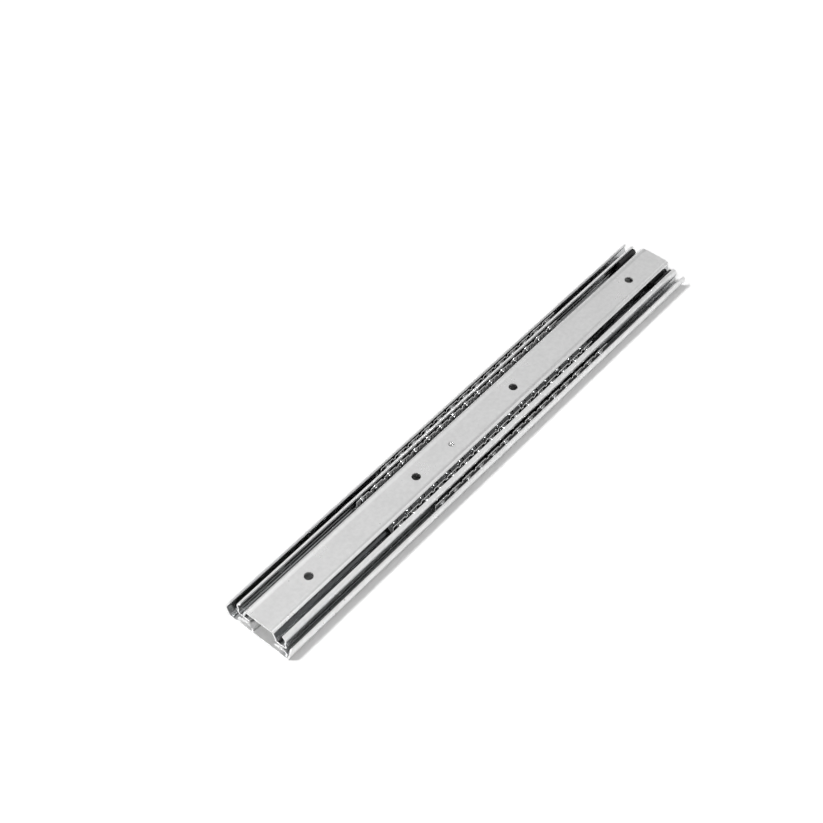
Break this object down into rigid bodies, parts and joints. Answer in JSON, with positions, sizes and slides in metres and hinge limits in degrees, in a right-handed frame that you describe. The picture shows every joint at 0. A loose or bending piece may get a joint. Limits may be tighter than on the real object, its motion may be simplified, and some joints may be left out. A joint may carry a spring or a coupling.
{
  "type": "drawer slide",
  "caption": "Full-extension ball-bearing drawer slide: three nested steel rails on caged balls, with a front bumper, rear buffer and release lever.",
  "frame": {"origin": "middle of the outer rail's back face, which lies on the cabinet wall", "axes": "+X the way the drawer opens, +Y across the rails, +Z from the cabinet wall to the drawer"},
  "size_m": [0.3512, 0.046, 0.0127],
  "materials": {
    "zinc_steel": "bright zinc plate on cold-rolled strip",
    "cage_steel": "zinc-plated thin stamped strip",
    "ball_steel": "polished bearing steel",
    "rivet_steel": "zinc-plated, pressed crown",
    "black_plastic": "moulded, fine matt",
    "buffer_rubber": "moulded grey rubber, matt"
  },
  "bodies": {
    "outer": {"outer_member": "zinc_steel", "rear_buffer": "buffer_rubber"},
    "outer_cage": {"outer_ball_cage": "cage_steel", "outer_balls_01": "ball_steel", "outer_balls_02": "ball_steel", "outer_balls_03": "ball_steel", "outer_balls_04": "ball_steel", "outer_balls_05": "ball_steel", "outer_balls_06": "ball_steel", "outer_balls_07": "ball_steel", "outer_balls_08": "ball_steel", "outer_balls_09": "ball_steel", "outer_balls_10": "ball_steel", "outer_balls_11": "ball_steel", "outer_balls_12": "ball_steel", "outer_balls_13": "ball_steel", "outer_balls_14": "ball_steel"},
    "middle": {"middle_member": "zinc_steel", "front_bumper": "black_plastic"},
    "inner_cage": {"inner_ball_cage": "cage_steel", "inner_balls_01": "ball_steel", "inner_balls_02": "ball_steel", "inner_balls_03": "ball_steel", "inner_balls_04": "ball_steel", "inner_balls_05": "ball_steel", "inner_balls_06": "ball_steel", "inner_balls_07": "ball_steel", "inner_balls_08": "ball_steel", "inner_balls_09": "ball_steel", "inner_balls_10": "ball_steel", "inner_balls_11": "ball_steel", "inner_balls_12": "ball_steel", "inner_balls_13": "ball_steel", "inner_balls_14": "ball_steel", "inner_balls_15": "ball_steel", "inner_balls_16": "ball_steel"},
    "inner": {"inner_member": "zinc_steel", "lever_rivet": "rivet_steel"},
    "lever": {"release_lever": "black_plastic"}
  },
  "joints": [
    {"name": "mid_slide", "type": "slide", "parent": "outer", "child": "middle", "axis": [1, 0, 0], "range_m": [0, 0.185]},
    {"name": "outer_cage_slide", "type": "slide", "parent": "outer", "child": "outer_cage", "axis": [1, 0, 0], "range_m": [0, 0.0731]},
    {"name": "inner_slide", "type": "slide", "parent": "middle", "child": "inner", "axis": [1, 0, 0], "range_m": [0, 0.16]},
    {"name": "inner_cage_slide", "type": "slide", "parent": "middle", "child": "inner_cage", "axis": [1, 0, 0], "range_m": [0, 0.0646]},
    {"name": "lever_pivot", "type": "hinge", "parent": "inner", "child": "lever", "pos_m": [-0.0209, 0, 0.0096], "axis": [0, 0, 1], "range_deg": [0, 10], "stiffness_Nm_per_rad": 0.1}
  ],
  "couplings": [
    {"joint": "outer_cage_slide", "follows": "mid_slide", "ratio": 0.3946},
    {"joint": "inner_cage_slide", "follows": "inner_slide", "ratio": 0.4031}
  ]
}
